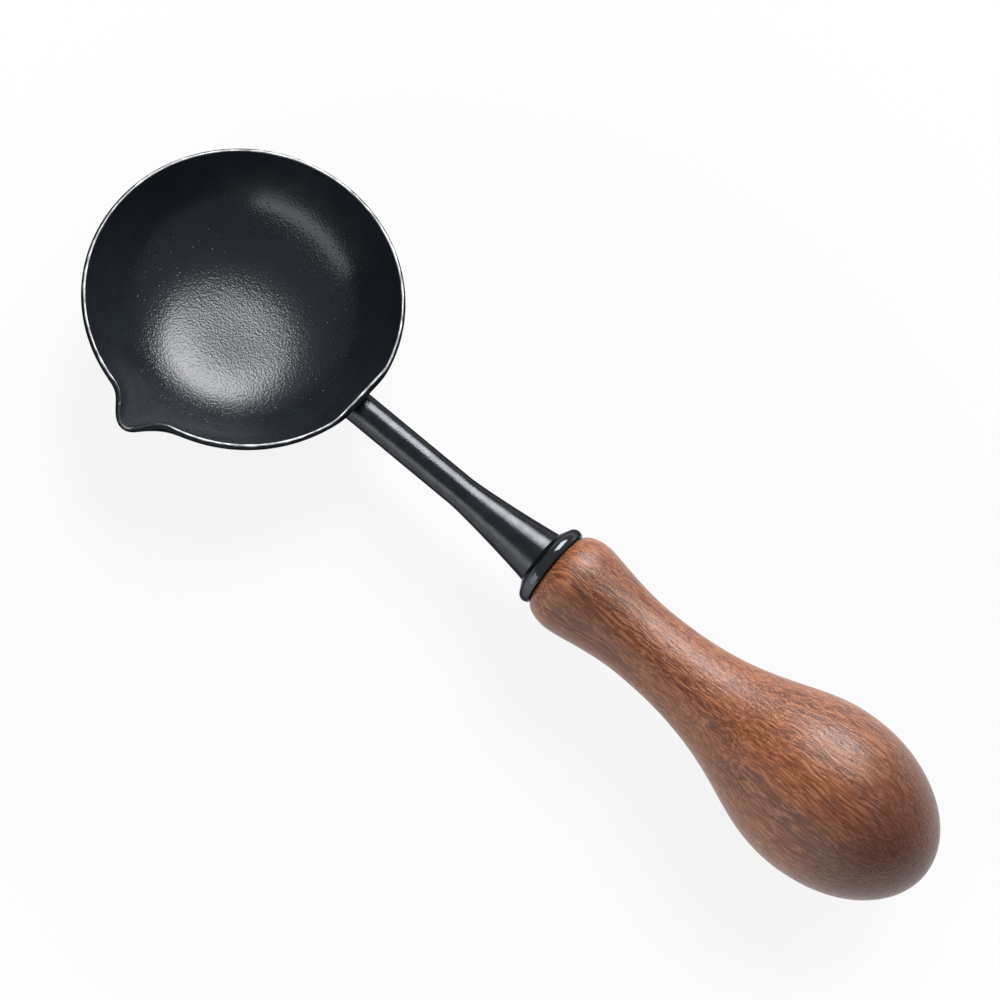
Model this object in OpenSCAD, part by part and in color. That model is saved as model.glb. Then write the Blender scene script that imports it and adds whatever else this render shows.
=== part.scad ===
// Wax sealing spoon: a pressed bowl with a pouring lip, a turned neck and a pear-shaped wooden handle.
// The origin is the centre of the bowl's flat base. +Z is up and +X runs along the handle.
// Stations named _x are lengths along the handle's axis. The neck's own station is its distance from the bowl's axis.

/* [Bowl] */
// Inner diameter of the mouth
mouth_d = 33; // [30:0.5:36]
// Height of the rim above the base
bowl_h = 10.8; // [10:0.1:12]
// Diameter at which the wall's arc would land on the floor, if no bend came between them
floor_d = 12.6; // [11:0.2:14]
// Radius of the bend between the flat floor and the wall, inside the bowl
bend_r = 9.5; // [4:0.5:10]
// Thickness of the pressed sheet
wall = 0.55; // [0.4:0.05:0.7]
// Lean of the wall at the rim, in degrees
rim_lean = 13.5; // [10:0.5:16]
// Width of the ground band on top of the rim
rim_band = 0.3; // [0.2:0.05:0.35]
// Inward depth at the rim of the flat that is pressed into the wall behind the neck, inside the bowl
flat_depth = 0.44; // [0.3:0.02:0.6]
// Depth of the same flat outside the bowl
flat_depth_out = 0.2; // [0.14:0.02:0.4]

/* [Pouring lip] */
// Angle from the handle round to the lip, in degrees
lip_angle = 89; // [80:1:100]
// Reach of the lip beyond the mouth
lip_reach = 2.65; // [1.8:0.05:3.2]
// Half width of the lip, as an angle round the bowl in degrees
lip_half = 6.3; // [5:0.1:8]
// Drop of the lip's tip below the rim
lip_drop = 0.5; // [0.3:0.1:0.9]
// Depth below the rim at which the lip's groove runs out
lip_depth = 7.5; // [6:0.5:8.5]

/* [Neck] */
// Drop of the neck's axis below the rim, where it meets the bowl
neck_drop = 3.6; // [3:0.1:4.2]
// Diameter of the straight stretch
neck_d = 3.54; // [3.2:0.02:4]
// Station of the square end that faces the bowl
neck_x = 16.4; // [16.2:0.1:16.8]
// Station where the flare starts
flare_x = 30.2; // [26:0.1:32]
// Station of the end that sits in the collar
seat_x = 41.75; // [40:0.05:43]
// Diameter at the seat
seat_d = 6.3; // [6:0.1:6.5]

/* [Collar and washer] */
// Diameter of the collar
collar_d = 9.3; // [9:0.1:9.6]
// Width of the collar along the handle
collar_w = 1.8; // [1.7:0.05:1.9]
// Depth of the recess that centres the neck
recess_depth = 0.4; // [0.2:0.1:0.6]
// Diameter of the washer
washer_d = 8.4; // [7.8:0.1:8.8]
// Thickness of the washer
washer_t = 0.15; // [0.15:0.05:0.4]

/* [Handle] */
// Diameter of the front face
face_d = 8; // [7.4:0.1:8.6]
// Diameter of the front shoulder
shoulder_d = 10.66; // [9.6:0.02:11.6]
// Diameter of the waist
waist_d = 8.5; // [8:0.1:9.4]
// Diameter of the bulb, which lies on the table
bulb_d = 18.4; // [17:0.1:19]
// Length from the front face to the shoulder's widest place
shoulder_l = 2.85; // [2:0.05:3.5]
// Length from the front face to the waist
waist_l = 11.9; // [10:0.05:13]
// Length from the front face to the bulb's widest place
bulb_l = 36; // [32:0.05:40]
// Length of the handle
handle_l = 49.05; // [45:0.05:54]

/* [Screw joint] */
// Diameter of the stud's thread
stud_d = 3; // [2.6:0.1:3]
// Length of the stud
stud_l = 14.5; // [13:0.1:15]
// Depth of the stud in the neck
stud_in_neck = 6.5; // [5:0.1:7]
// Diameter of the insert over its barbs
insert_d = 5.2; // [4.8:0.1:5.6]
// Length of the insert
insert_l = 6; // [5:0.1:6.5]

/* [Hidden] */
$fn = 96;

// Radial room between pieces that stay together, and between the stud and what turns on it
seat_gap = 0.03;
turning_gap = 0.05;
loose_gap = 0.12;
// Overshoot that keeps cutting bodies clear of the faces they cut
past = 1;

mouth_r = mouth_d / 2;

// Wall arc of the bowl's inside: it leaves the rim at the stated lean and would land on the floor's circle
rim_step = mouth_r - floor_d / 2;
hollow_h = bowl_h - wall;
arc_r = (rim_step ^ 2 + hollow_h ^ 2) / (2 * (rim_step * cos(rim_lean) - hollow_h * sin(rim_lean)));
arc_x = mouth_r - arc_r * cos(rim_lean);
arc_z = bowl_h + arc_r * sin(rim_lean);

// Bend arc: it touches the flat floor at its own centre's radius, and the wall arc where both lean alike
bend_lean = asin((arc_z - wall - bend_r) / (arc_r - bend_r));
bend_x = arc_x + (arc_r - bend_r) * cos(bend_lean);
bend_z = wall + bend_r;
floor_lean = 90;

// The flat behind the neck leans with the wall at the neck's own height, and its edges are soft
flat_lean = 24;
flat_soft = 0.2;

// How the lip's groove fades below the rim: its added width, its reach, and the drop of its edge
lip_spread = 1.2;
reach_fade = 1.3;
drop_fade = 4;

// Surface of the bowl: columns round it, rows up the wall, and where its outside stops below the ground band
columns = 120;
rows = 14;
outside_top = 0.984;
// Small steps round the bowl, in degrees, and up its wall, that measure which way the wall faces
angle_step = 0.5;
up_step = 0.01;

// Stations along the handle
collar_x = seat_x - recess_depth;
washer_x = collar_x + collar_w;
face_x = washer_x + washer_t;
stud_x = seat_x - stud_in_neck;
stud_end_x = stud_x + stud_l;
insert_sink = 0.3;
insert_x = face_x + insert_sink;
insert_end_x = insert_x + insert_l;

// Rise of the handle's axis: it starts below the rim and ends with the bulb on the plane of the base
neck_z = bowl_h - neck_drop;
bulb_clear = 0.02;
rise = asin((bulb_d / 2 + bulb_clear - neck_z) / (face_x + bulb_l - neck_x));

// Holes: tapped hole in the neck, pocket for the insert and the room beyond it for the stud
tap_room = 0.8;
drill_angle = 118;
stud_room = 2.2;

// Curve handles along the axis at the two ends of each turned curve, and the slope of the flare at the seat
flare_pull = [1.4, 3.3];
flare_rise = 0.62;
waist_pull = [1.4, 3.85];
bulb_pull = [14, 8.1];
round_steps = 10;
curve_steps = 24;

// A point at parameter t on the cubic curve with end points a, d and handles b, c
function on_curve(a, b, c, d, t) =
    a * (1 - t) ^ 3 + b * 3 * t * (1 - t) ^ 2 + c * 3 * t ^ 2 * (1 - t) + d * t ^ 3;

// Points of the cubic curve, without its first one
function curve(a, b, c, d) = [for (i = [1:curve_steps]) on_curve(a, b, c, d, i / curve_steps)];

// Points of an elliptical arc about a centre, with semi-axes in radius and in length
function arc(centre, semi, from, to, steps = round_steps) =
    [for (i = [0:steps]) let (a = from + (to - from) * i / steps)
        centre + [semi[0] * cos(a), semi[1] * sin(a)]];

// A turned body on the rising axis: its outline holds [radius, station] points
module turned(outline) {
    translate([neck_x, 0, neck_z])
        rotate([0, 90 - rise, 0])
            translate([0, 0, -neck_x])
                rotate_extrude()
                    polygon(outline);
}

// A round bar on the handle's axis from one station to another, with a drill's point at its end if asked
module bar(r, from, to, pointed = false) {
    tip = pointed ? sign(to - from) * r / tan(drill_angle / 2) : 0;
    turned([[0, from], [r, from], [r, to], [0, to + tip]]);
}

// The smaller of two lengths, blended where they come within soft of each other
function soft_min(a, b, soft) = min(a, b) - max(soft - abs(a - b), 0) ^ 2 / (4 * soft);

// How much of the lip there is at an angle round the bowl: 1 at its centre line. Rise is 1 at the rim and 0 where it ends
function lip_share(angle, rise) =
    let (half = lip_half * (1 + lip_spread * (1 - rise)))
    exp(-(((angle + lip_angle + 540) % 360 - 180) / half) ^ 2);

// Reach of the flat behind the neck at an angle round the bowl and a height
function flat_reach(angle, z, depth) =
    cos(angle) > 0.5 ? (mouth_r - depth - (bowl_h - z) * tan(flat_lean)) / cos(angle) : mouth_d;

// A point on the bowl's inside: up runs from 0 at the floor to 1 at the rim
function inside(angle, up, depth = flat_depth) =
    let (lean = floor_lean + (rim_lean - floor_lean) * up)
    let (along = [cos(lean), -sin(lean)])
    let (place = lean > bend_lean ? [bend_x, bend_z] + bend_r * along : [arc_x, arc_z] + arc_r * along)
    let (z = place[1])
    let (rise = max(0, 1 - (bowl_h - z) / lip_depth))
    let (share = lip_share(angle, rise))
    let (swell = lip_reach * share * rise ^ reach_fade)
    let (r = soft_min(place[0] + swell, flat_reach(angle, z, depth), flat_soft))
    [r * cos(angle), r * sin(angle), z - lip_drop * share * rise ^ drop_fade];

// The outward direction at such a point
function outward(angle, up, depth = flat_depth) =
    let (normal = cross(
        inside(angle + angle_step, up, depth) - inside(angle - angle_step, up, depth),
        inside(angle, up + up_step, depth) - inside(angle, up - up_step, depth)))
    normal / norm(normal);

// A point on the bowl's outside, one sheet thickness away
function outside(angle, up) =
    inside(angle, up, flat_depth_out) + wall * outward(angle, up, flat_depth_out);

// A point on the outer edge of the ground band
function band_edge(angle) =
    let (side = outward(angle, 1))
    inside(angle, 1) + rim_band * [side[0], side[1], 0] / norm([side[0], side[1]]);

module bowl() {
    angles = [for (i = [0:columns - 1]) 360 * i / columns - lip_angle];
    rings = concat(
        [[for (a = angles) [bend_x * cos(a), bend_x * sin(a), wall]]],
        [for (j = [1:rows]) [for (a = angles) inside(a, j / rows)]],
        [[for (a = angles) band_edge(a)]],
        [for (j = [rows:-1:1]) [for (a = angles) outside(a, outside_top * j / rows)]],
        [[for (a = angles) [bend_x * cos(a), bend_x * sin(a), 0]]]);
    last = len(rings) - 1;
    color("#22262b")
        polyhedron(
            points = [for (ring = rings, p = ring) p],
            faces = concat(
                [[for (i = [columns - 1:-1:0]) i]],
                [for (k = [0:last - 1], i = [0:columns - 1])
                    let (here = k * columns, next = (i + 1) % columns)
                    each [
                        [here + i, here + next, here + columns + next],
                        [here + i, here + columns + next, here + columns + i]
                    ]],
                [[for (i = [0:columns - 1]) last * columns + i]]));
}

module braze_fillet() {
    fillet_w = 0.3;
    fillet_l = 1.2;
    r = neck_d / 2;
    color("#3a3d40")
        difference() {
            turned([[0, 0], [r + fillet_w, 0], [r + fillet_w, neck_x - fillet_l], [r, neck_x], [0, neck_x]]);
            translate([mouth_r - flat_depth_out, 0, bowl_h])
                rotate([0, flat_lean, 0])
                    translate([wall + seat_gap - mouth_d, -mouth_r, -mouth_d])
                        cube([mouth_d, mouth_d, 2 * mouth_d]);
        }
}

module neck() {
    start = [neck_d / 2, flare_x];
    seat = [seat_d / 2, seat_x];
    color("#23262a")
        difference() {
            turned(concat(
                [[0, neck_x], [start[0], neck_x], start],
                curve(start, start + [0, flare_pull[0]], seat - [flare_rise, flare_pull[1]], seat),
                [[0, seat_x]]));
            bar(stud_d / 2 + seat_gap, seat_x + past, stud_x - tap_room, pointed = true);
        }
}

module collar() {
    front_lean = 60;
    front_edge = 0.15;
    crest_r = 0.8;
    front_r = seat_d / 2 + front_edge;
    crest_start_r = collar_d / 2 - crest_r * (1 - cos(front_lean));
    cone_l = (crest_start_r - front_r) / tan(front_lean);
    crest = [collar_d / 2 - crest_r, collar_x + cone_l + crest_r * sin(front_lean)];
    color("#1c1f22")
        difference() {
            turned(concat(
                [[0, collar_x], [front_r, collar_x]],
                arc(crest, [crest_r, crest_r], -front_lean, asin((washer_x - crest[1]) / crest_r)),
                [[0, washer_x]]));
            bar(seat_d / 2 + seat_gap, collar_x - past, seat_x);
            bar(stud_d / 2 + loose_gap, collar_x, washer_x + past);
        }
}

module washer() {
    color("#2b2522")
        difference() {
            bar(washer_d / 2, washer_x, face_x);
            bar(stud_d / 2 + loose_gap, washer_x - past, face_x + past);
        }
}

module stud() {
    chamfer = 0.35;
    r = stud_d / 2;
    color("#a9adb0")
        turned([[0, stud_x], [r - chamfer, stud_x], [r, stud_x + chamfer],
            [r, stud_end_x - chamfer], [r - chamfer, stud_end_x], [0, stud_end_x]]);
}

module insert() {
    barbs = 4;
    barb_h = 0.25;
    barb_l = insert_l / barbs;
    r = insert_d / 2;
    color("#b8923f")
        difference() {
            turned(concat(
                [[0, insert_x]],
                [for (i = [0:barbs - 1])
                    each [[r, insert_x + i * barb_l], [r - barb_h, insert_x + (i + 1) * barb_l]]],
                [[0, insert_end_x]]));
            bar(stud_d / 2 + turning_gap, insert_x - past, insert_end_x + past);
        }
}

module handle() {
    face_r = face_d / 2;
    shoulder = [shoulder_d / 2, face_x + shoulder_l];
    waist = [waist_d / 2, face_x + waist_l];
    bulb = [bulb_d / 2, face_x + bulb_l];
    color("#8a4a32")
        difference() {
            turned(concat(
                [[0, face_x]],
                arc([face_r, shoulder[1]], [shoulder[0] - face_r, shoulder_l], -90, 0),
                curve(shoulder, shoulder + [0, waist_pull[0]], waist - [0, waist_pull[1]], waist),
                curve(waist, waist + [0, bulb_pull[0]], bulb - [0, bulb_pull[1]], bulb),
                arc([0, bulb[1]], [bulb[0], handle_l - bulb_l], 0, 90, curve_steps)));
            bar(insert_d / 2 + seat_gap, face_x - past, insert_end_x);
            bar(stud_d / 2 + loose_gap, face_x, insert_end_x + stud_room, pointed = true);
        }
}

bowl();
braze_fillet();
neck();
collar();
washer();
stud();
insert();
handle();
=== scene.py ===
# %% [markdown]
# # A wax sealing spoon
#
# The real object is a small pressed bowl with a black release coating, a turned black neck and collar,
# and a turned wooden handle that screws onto a stud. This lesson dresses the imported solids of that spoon:
# each solid is replaced by a finer mesh of the same size, and each mesh gets a finish made of shader
# nodes.

# %% Load the solids that everything is fitted to
import math

import bmesh
import bpy
import numpy as np
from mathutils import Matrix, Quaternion, Vector
from mathutils.bvhtree import BVHTree


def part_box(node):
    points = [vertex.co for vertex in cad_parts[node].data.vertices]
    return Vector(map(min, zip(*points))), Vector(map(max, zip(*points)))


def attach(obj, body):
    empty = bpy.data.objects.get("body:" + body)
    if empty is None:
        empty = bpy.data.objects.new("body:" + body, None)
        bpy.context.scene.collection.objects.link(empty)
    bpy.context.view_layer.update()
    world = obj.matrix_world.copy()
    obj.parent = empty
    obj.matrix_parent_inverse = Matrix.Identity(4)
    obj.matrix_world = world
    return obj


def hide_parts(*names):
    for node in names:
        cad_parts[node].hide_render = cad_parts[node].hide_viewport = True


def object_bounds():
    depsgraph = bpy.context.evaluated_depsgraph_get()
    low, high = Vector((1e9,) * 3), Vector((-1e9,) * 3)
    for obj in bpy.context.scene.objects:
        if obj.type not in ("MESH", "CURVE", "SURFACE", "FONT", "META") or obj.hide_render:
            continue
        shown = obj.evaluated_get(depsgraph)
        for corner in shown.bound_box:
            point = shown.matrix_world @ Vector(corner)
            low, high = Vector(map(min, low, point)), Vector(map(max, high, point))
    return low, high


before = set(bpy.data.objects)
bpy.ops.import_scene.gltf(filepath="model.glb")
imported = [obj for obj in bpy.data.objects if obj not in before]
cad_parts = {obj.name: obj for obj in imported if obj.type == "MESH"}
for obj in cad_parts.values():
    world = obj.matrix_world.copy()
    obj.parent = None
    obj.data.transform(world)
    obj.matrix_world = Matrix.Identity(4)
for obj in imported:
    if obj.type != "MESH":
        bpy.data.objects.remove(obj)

cad_low, cad_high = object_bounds()
mm = 0.001
print("the solids measure", [round(side / mm, 2) for side in cad_high - cad_low], "mm")

# %% [markdown]
# ## The camera
#
# The view looks steeply down on the spoon with a long lens, and the picture is turned so that the handle
# runs to the lower right. A camera can be set with a look-at constraint, but a plain place, aim and roll
# are easier to read, and nothing is left to evaluate later.

# %% Camera
camera_place = Vector((78.30, -122.20, 359.30)) * mm
camera_aim = Vector((33.91, 2.22, 7.20)) * mm
camera_roll = math.radians(21.68)
camera_lens = 129.6
sensor_side = 36

camera = bpy.data.objects.new("camera", bpy.data.cameras.new("camera"))
bpy.context.collection.objects.link(camera)
camera.data.lens = camera_lens
camera.data.sensor_width = sensor_side
camera.location = camera_place
camera.rotation_mode = "QUATERNION"
level_view = (camera_aim - camera_place).to_track_quat("-Z", "Y")
camera.rotation_quaternion = level_view @ Quaternion((0, 0, 1), camera_roll)
bpy.context.scene.camera = camera
bpy.context.scene.view_settings.view_transform = "Standard"
print("camera", round((camera_aim - camera_place).length / mm), "mm from what it looks at")

# %% [markdown]
# ## Placing shader nodes
#
# Materials are trees of nodes. A few small helpers keep the trees readable: they fill a node's inputs
# with values or with other nodes' outputs, add a node, do arithmetic, mix colours and turn a height into
# a bump. Every finish below is written with them.

# %% Helpers for shader trees
def fill(tree, node, inputs):
    """Fills a node's inputs, by name or number, with values or with other nodes' outputs."""
    for key, value in inputs.items():
        if isinstance(value, bpy.types.NodeSocket):
            tree.links.new(value, node.inputs[key])
        else:
            node.inputs[key].default_value = value


def put(tree, kind, inputs=None, **settings):
    """Adds a node with its settings and inputs."""
    made = tree.nodes.new(kind)
    for name, value in settings.items():
        setattr(made, name, value)
    fill(tree, made, inputs or {})
    return made


def maths(tree, operation, *terms):
    """The output of a Math node."""
    return put(tree, "ShaderNodeMath", dict(enumerate(terms)), operation=operation).outputs[0]


def ramp(tree, value, low, high, start=0.0, end=1.0):
    """A smooth step: start where value is at or below low, end where it is at or above high."""
    reach = {"Value": value, "From Min": low, "From Max": high, "To Min": start, "To Max": end}
    return put(tree, "ShaderNodeMapRange", reach, interpolation_type="SMOOTHSTEP").outputs["Result"]


def tint(tree, share, first, second):
    """A colour between two others. A Mix node's colour inputs are numbers 6 and 7, and its output is 2."""
    return put(tree, "ShaderNodeMix", {0: share, 6: first, 7: second}, data_type="RGBA").outputs[2]


def new_material(name):
    """An empty material, its tree and its Principled shader."""
    material = bpy.data.materials.new(name)
    material.use_nodes = True
    tree = material.node_tree
    return material, tree, tree.nodes["Principled BSDF"]


def bumped(tree, shader, height, depth):
    """Bends a shader's normal by a height. Depth is what a height of 1 stands for, in millimetres."""
    bump = put(tree, "ShaderNodeBump", {"Height": height, "Distance": depth * mm, "Strength": 1.0})
    fill(tree, shader, {"Normal": bump.outputs[0]})


def dress(piece, material):
    """Adds a finish to a piece."""
    piece.data.materials.append(material)
    print(piece.name, "wears", material.name, "of", len(material.node_tree.nodes), "nodes")


# %% [markdown]
# ## Floor and light
#
# The spoon lies on a plain white floor. A floor that is only lit would be grey at its far side, and more
# light would spoil the object, so the floor's own material glows a little for what the camera sees
# directly or in a reflection. Close to the spoon part of the surface stays ordinary white paint, and that
# part keeps the shadow.

# %% Floor
floor_radius = 6.0
floor_sides = 96
floor_drop = 0.02 * mm
shadow_reach = (0.035, 0.085)
glow_near = 0.88
floor_white = (0.62, 0.62, 0.62, 1)
floor_rough = 0.9

floor_mesh = bpy.data.meshes.new("floor")
floor_shape = bmesh.new()
bmesh.ops.create_circle(floor_shape, cap_ends=True, segments=floor_sides, radius=floor_radius)
floor_shape.to_mesh(floor_mesh)
floor_shape.free()
floor = bpy.data.objects.new("floor", floor_mesh)
floor.location = ((cad_low.x + cad_high.x) / 2, (cad_low.y + cad_high.y) / 2, -floor_drop)
bpy.context.collection.objects.link(floor)

floor_material, tree, paint = new_material("floor_white")
fill(tree, paint, {"Base Color": floor_white, "Roughness": floor_rough})
place = put(tree, "ShaderNodeTexCoord")
distance = put(tree, "ShaderNodeVectorMath", {0: place.outputs["Object"]}, operation="LENGTH")
rays = put(tree, "ShaderNodeLightPath")
seen = maths(tree, "MAXIMUM", rays.outputs["Is Camera Ray"], rays.outputs["Is Glossy Ray"])
seen = maths(tree, "MAXIMUM", seen, rays.outputs["Is Transmission Ray"])
glow_share = ramp(tree, distance.outputs["Value"], *shadow_reach, glow_near, 1.0)
glow = put(tree, "ShaderNodeEmission", {"Color": (1, 1, 1, 1), "Strength": 1.0})
glowing = maths(tree, "MULTIPLY", seen, glow_share)
both = put(tree, "ShaderNodeMixShader", {0: glowing, 1: paint.outputs[0], 2: glow.outputs[0]})
fill(tree, tree.nodes["Material Output"], {"Surface": both.outputs[0]})
dress(floor, floor_material)
print("the floor reaches", floor_radius, "m in every direction")

# %% [markdown]
# The light is a studio set: one large softbox behind the spoon, which draws the bright disc on the bowl's
# floor and the long streak on the neck, and one low, weak panel in front, which glows on the bowl's far
# wall and lifts the shaded sides. Black gloss shows only what it mirrors, so each lamp is placed by the
# direction that a highlight mirrors. The lamp's power follows from how bright its face should look, which
# is the number to think in.

# %% Lamps
lamp_distance = 0.7
lamp_target = Vector((0.035, 0.0, 0.008))
room_tint = (0.76, 0.88, 1.0, 1)
room_light = 0.28


def softbox(name, direction, width, height, brightness):
    """A rectangular lamp that faces the spoon. Brightness is how bright its face looks: 1 is white."""
    lamp = bpy.data.lights.new(name, "AREA")
    lamp.shape = "RECTANGLE"
    lamp.size = width
    lamp.size_y = height
    lamp.energy = brightness * width * height * math.pi
    holder = bpy.data.objects.new(name, lamp)
    away = Vector(direction).normalized()
    holder.location = lamp_target + away * lamp_distance
    holder.rotation_mode = "QUATERNION"
    holder.rotation_quaternion = away.to_track_quat("Z", "Y")
    holder.visible_camera = False
    bpy.context.collection.objects.link(holder)
    print(name, "gives", round(lamp.energy, 2), "W")


softbox("key_softbox", (-0.23, 0.645, 0.715), 0.50, 0.50, 8.5)
softbox("front_panel", (-0.08, -0.975, 0.20), 1.05, 0.38, 1.5)

world = bpy.data.worlds.new("studio")
bpy.context.scene.world = world
world.use_nodes = True
fill(world.node_tree, world.node_tree.nodes["Background"], {"Color": room_tint, "Strength": room_light})
print("the room itself is", room_light, "as bright as white")

# %% [markdown]
# ## Stations along the handle
#
# Every turned piece sits on one axis, so its outline is a list of radius and station pairs in
# millimetres. The axis leaves the bowl below the rim and rises by less than two degrees, so that the bulb
# lies on the table beside the bowl's base. Widths come from the solids' own boxes. Stations are lengths
# along the leaning axis, which a box can't tell, so they are named here.

# %% Stations and turned sizes
def across(node):
    """Largest diameter of a turned solid, in millimetres."""
    low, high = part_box(node)
    return round((high.y - low.y) / mm, 2)


neck_x = 16.4
flare_x = 30.2
collar_x = 41.35
seat_x = 41.75
washer_x = 43.15
face_x = 43.3
shoulder_x = 46.15
waist_x = 55.2
bulb_x = 79.3
butt_x = 92.35
stud_x = 35.25
stud_end_x = 49.75
insert_x = 43.6
insert_end_x = 49.6

seat_r = across("neck") / 2
collar_r = across("collar") / 2
washer_r = across("washer") / 2
stud_r = across("stud") / 2
insert_r = across("insert") / 2
bulb_r = across("handle") / 2

neck_r = 1.77
seat_gap = 0.03
turning_gap = 0.05
loose_gap = 0.12
bowl_h = round(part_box("bowl")[1].z / mm, 2)
neck_drop = 3.6
neck_z = bowl_h - neck_drop
bulb_clear = 0.02
rise = math.asin((bulb_r + bulb_clear - neck_z) / (bulb_x - neck_x))
print("the axis rises by", round(math.degrees(rise), 2), "degrees, from", round(neck_z, 2), "mm up")

# %% [markdown]
# ## Turning a piece
#
# A lathe makes a round piece by following an outline, and so does this helper. Blender's Screw modifier
# could spin an outline too, but a mesh that is built point by point can also take a thread or a knurl,
# because each point knows its angle. Sharp corners never leave a real workshop, so outlines are softened
# first: each corner is replaced by a small curve.

# %% Outline and turning helpers
def on_curve(a, b, c, d, steps):
    """Points of the cubic curve from a to d with handles b and c, without its first one."""
    t = np.arange(1, steps + 1)[:, None] / steps
    a, b, c, d = (np.array(point, float) for point in (a, b, c, d))
    return (a * (1 - t) ** 3 + b * 3 * t * (1 - t) ** 2 + c * 3 * t ** 2 * (1 - t) + d * t ** 3).tolist()


def on_arc(centre, semi, first, last, steps):
    """Points of an elliptical arc about a centre, with semi-axes in radius and in length, in degrees."""
    turns = np.radians(np.linspace(first, last, steps + 1))
    return [[centre[0] + semi[0] * math.cos(t), centre[1] + semi[1] * math.sin(t)] for t in turns]


def softened(corners, steps=4):
    """An outline from corners of radius, station and an optional rounding, which becomes a small curve."""
    outline = []
    for i, corner in enumerate(corners):
        point = np.array(corner[:2], float)
        if len(corner) < 3:
            outline.append(point.tolist())
            continue
        before = np.array(corners[i - 1][:2], float) - point
        after = np.array(corners[(i + 1) % len(corners)][:2], float) - point
        start = point + before / np.linalg.norm(before) * corner[2]
        end = point + after / np.linalg.norm(after) * corner[2]
        for t in np.linspace(0, 1, steps + 1):
            outline.append((start * (1 - t) ** 2 + point * 2 * t * (1 - t) + end * t ** 2).tolist())
    return outline


def stretched(first, last, count):
    """Evenly spaced outline points between two points, both included."""
    return np.linspace(first, last, count).tolist()


sharp_turn = math.radians(38)


def new_piece(name, points, faces):
    """A smooth-shaded object from points in millimetres, with its faces turned outwards."""
    mesh = bpy.data.meshes.new(name)
    mesh.from_pydata((np.array(points) * mm).tolist(), [], faces)
    shape = bmesh.new()
    shape.from_mesh(mesh)
    bmesh.ops.recalc_face_normals(shape, faces=shape.faces)
    shape.to_mesh(mesh)
    shape.free()
    mesh.shade_smooth()
    mesh.set_sharp_from_angle(angle=sharp_turn)
    piece = bpy.data.objects.new(name, mesh)
    bpy.context.collection.objects.link(piece)
    print(name, "has", len(mesh.polygons), "faces")
    return piece


def on_axis(station, side, up):
    """Points beside the rising axis, from a station and from lengths sideways and upwards, in millimetres."""
    along = station - neck_x
    x = neck_x + along * math.cos(rise) - up * math.sin(rise)
    z = neck_z + along * math.sin(rise) + up * math.cos(rise)
    return np.stack([x, side, z], -1)


def turned(name, outline, columns=128, carve=None):
    """Spins an outline about the handle's axis. An end on the axis closes to a point, and an outline that
    never meets the axis closes on itself. Carve changes the radius from angle, radius and station."""
    outline = np.array(outline, float)
    closing = outline[:, 0] < 1e-9
    rings = outline[~closing]
    angles = np.arange(columns) * 2 * math.pi / columns
    radius = np.repeat(rings[:, :1], columns, 1)
    station = np.repeat(rings[:, 1:], columns, 1)
    if carve:
        radius = carve(angles[None, :], radius, station)
    points = on_axis(station, radius * np.cos(angles), radius * np.sin(angles)).reshape(-1, 3)
    poles = [on_axis(x, 0, 0).tolist() for x in outline[closing, 1]]
    count = len(rings)
    grid = np.arange(count * columns).reshape(count, columns)
    pairs = [(k, k + 1) for k in range(count - 1)]
    if not poles:
        pairs.append((count - 1, 0))
    faces = []
    for k, after in pairs:
        for i in range(columns):
            j = (i + 1) % columns
            faces.append((grid[k, i], grid[k, j], grid[after, j], grid[after, i]))
    for pole, ring in zip(range(len(poles)), (0, count - 1)):
        for i in range(columns):
            faces.append((grid[ring, i], grid[ring, (i + 1) % columns], count * columns + pole))
    faces = [tuple(int(corner) for corner in face) for face in faces]
    return new_piece(name, points.tolist() + poles, faces)


# %% [markdown]
# ## The bowl
#
# The bowl is pressed from thin sheet: a flat floor, a rounded bend, a wall that follows one arc, a lip
# drawn out of the rim, and a shallow flat where the neck is brazed on. The lip's groove widens and fades
# down the wall. Sculpting that by hand would lose the sheet's even thickness. A formula keeps it: one
# function gives the inside, and the outside lies one sheet thickness along the surface normal. Only the
# floor's inside then sinks by a hair towards the middle, because a press rounds the place where flat and
# bend meet.

# %% Sizes of the bowl, in millimetres and degrees
mouth_r = 16.5
floor_r = 6.3
bend_r = 9.5
soft_start = 3.0
wall = 0.55
rim_lean = math.radians(13.5)
rim_band = 0.3
flat_depth = 0.44
flat_depth_out = 0.2
flat_lean = math.radians(24)
flat_soft = 0.2
flat_facing = 0.5
lip_turn = math.radians(89)
lip_half = math.radians(6.3)
lip_reach = 2.65
lip_drop = 0.5
lip_spread = 1.2
lip_depth = 7.5
reach_fade = 1.3
drop_fade = 4

rim_step = mouth_r - floor_r
hollow_h = bowl_h - wall
across_rim = rim_step * math.cos(rim_lean) - hollow_h * math.sin(rim_lean)
arc_r = (rim_step ** 2 + hollow_h ** 2) / (2 * across_rim)
arc_x = mouth_r - arc_r * math.cos(rim_lean)
arc_z = bowl_h + arc_r * math.sin(rim_lean)
bend_lean = math.asin((arc_z - wall - bend_r) / (arc_r - bend_r))
bend_x = arc_x + (arc_r - bend_r) * math.cos(bend_lean)
print("the wall's arc has a radius of", round(arc_r, 2), "mm")
print("the flat floor is", round(2 * bend_x, 2), "mm across")


# %% Surface of the bowl
def soft_min(a, b, soft):
    """The smaller of two lengths, blended where they come within soft of each other."""
    return np.minimum(a, b) - np.maximum(soft - np.abs(a - b), 0) ** 2 / (4 * soft)


def lip_share(angle, lift):
    """How much of the lip there is at an angle round the bowl: 1 on its centre line. Lift is 1 at the rim,
    and the groove widens as lift falls."""
    off = (angle + lip_turn + 3 * math.pi) % (2 * math.pi) - math.pi
    return np.exp(-(off / (lip_half * (1 + lip_spread * (1 - lift)))) ** 2)


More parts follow.
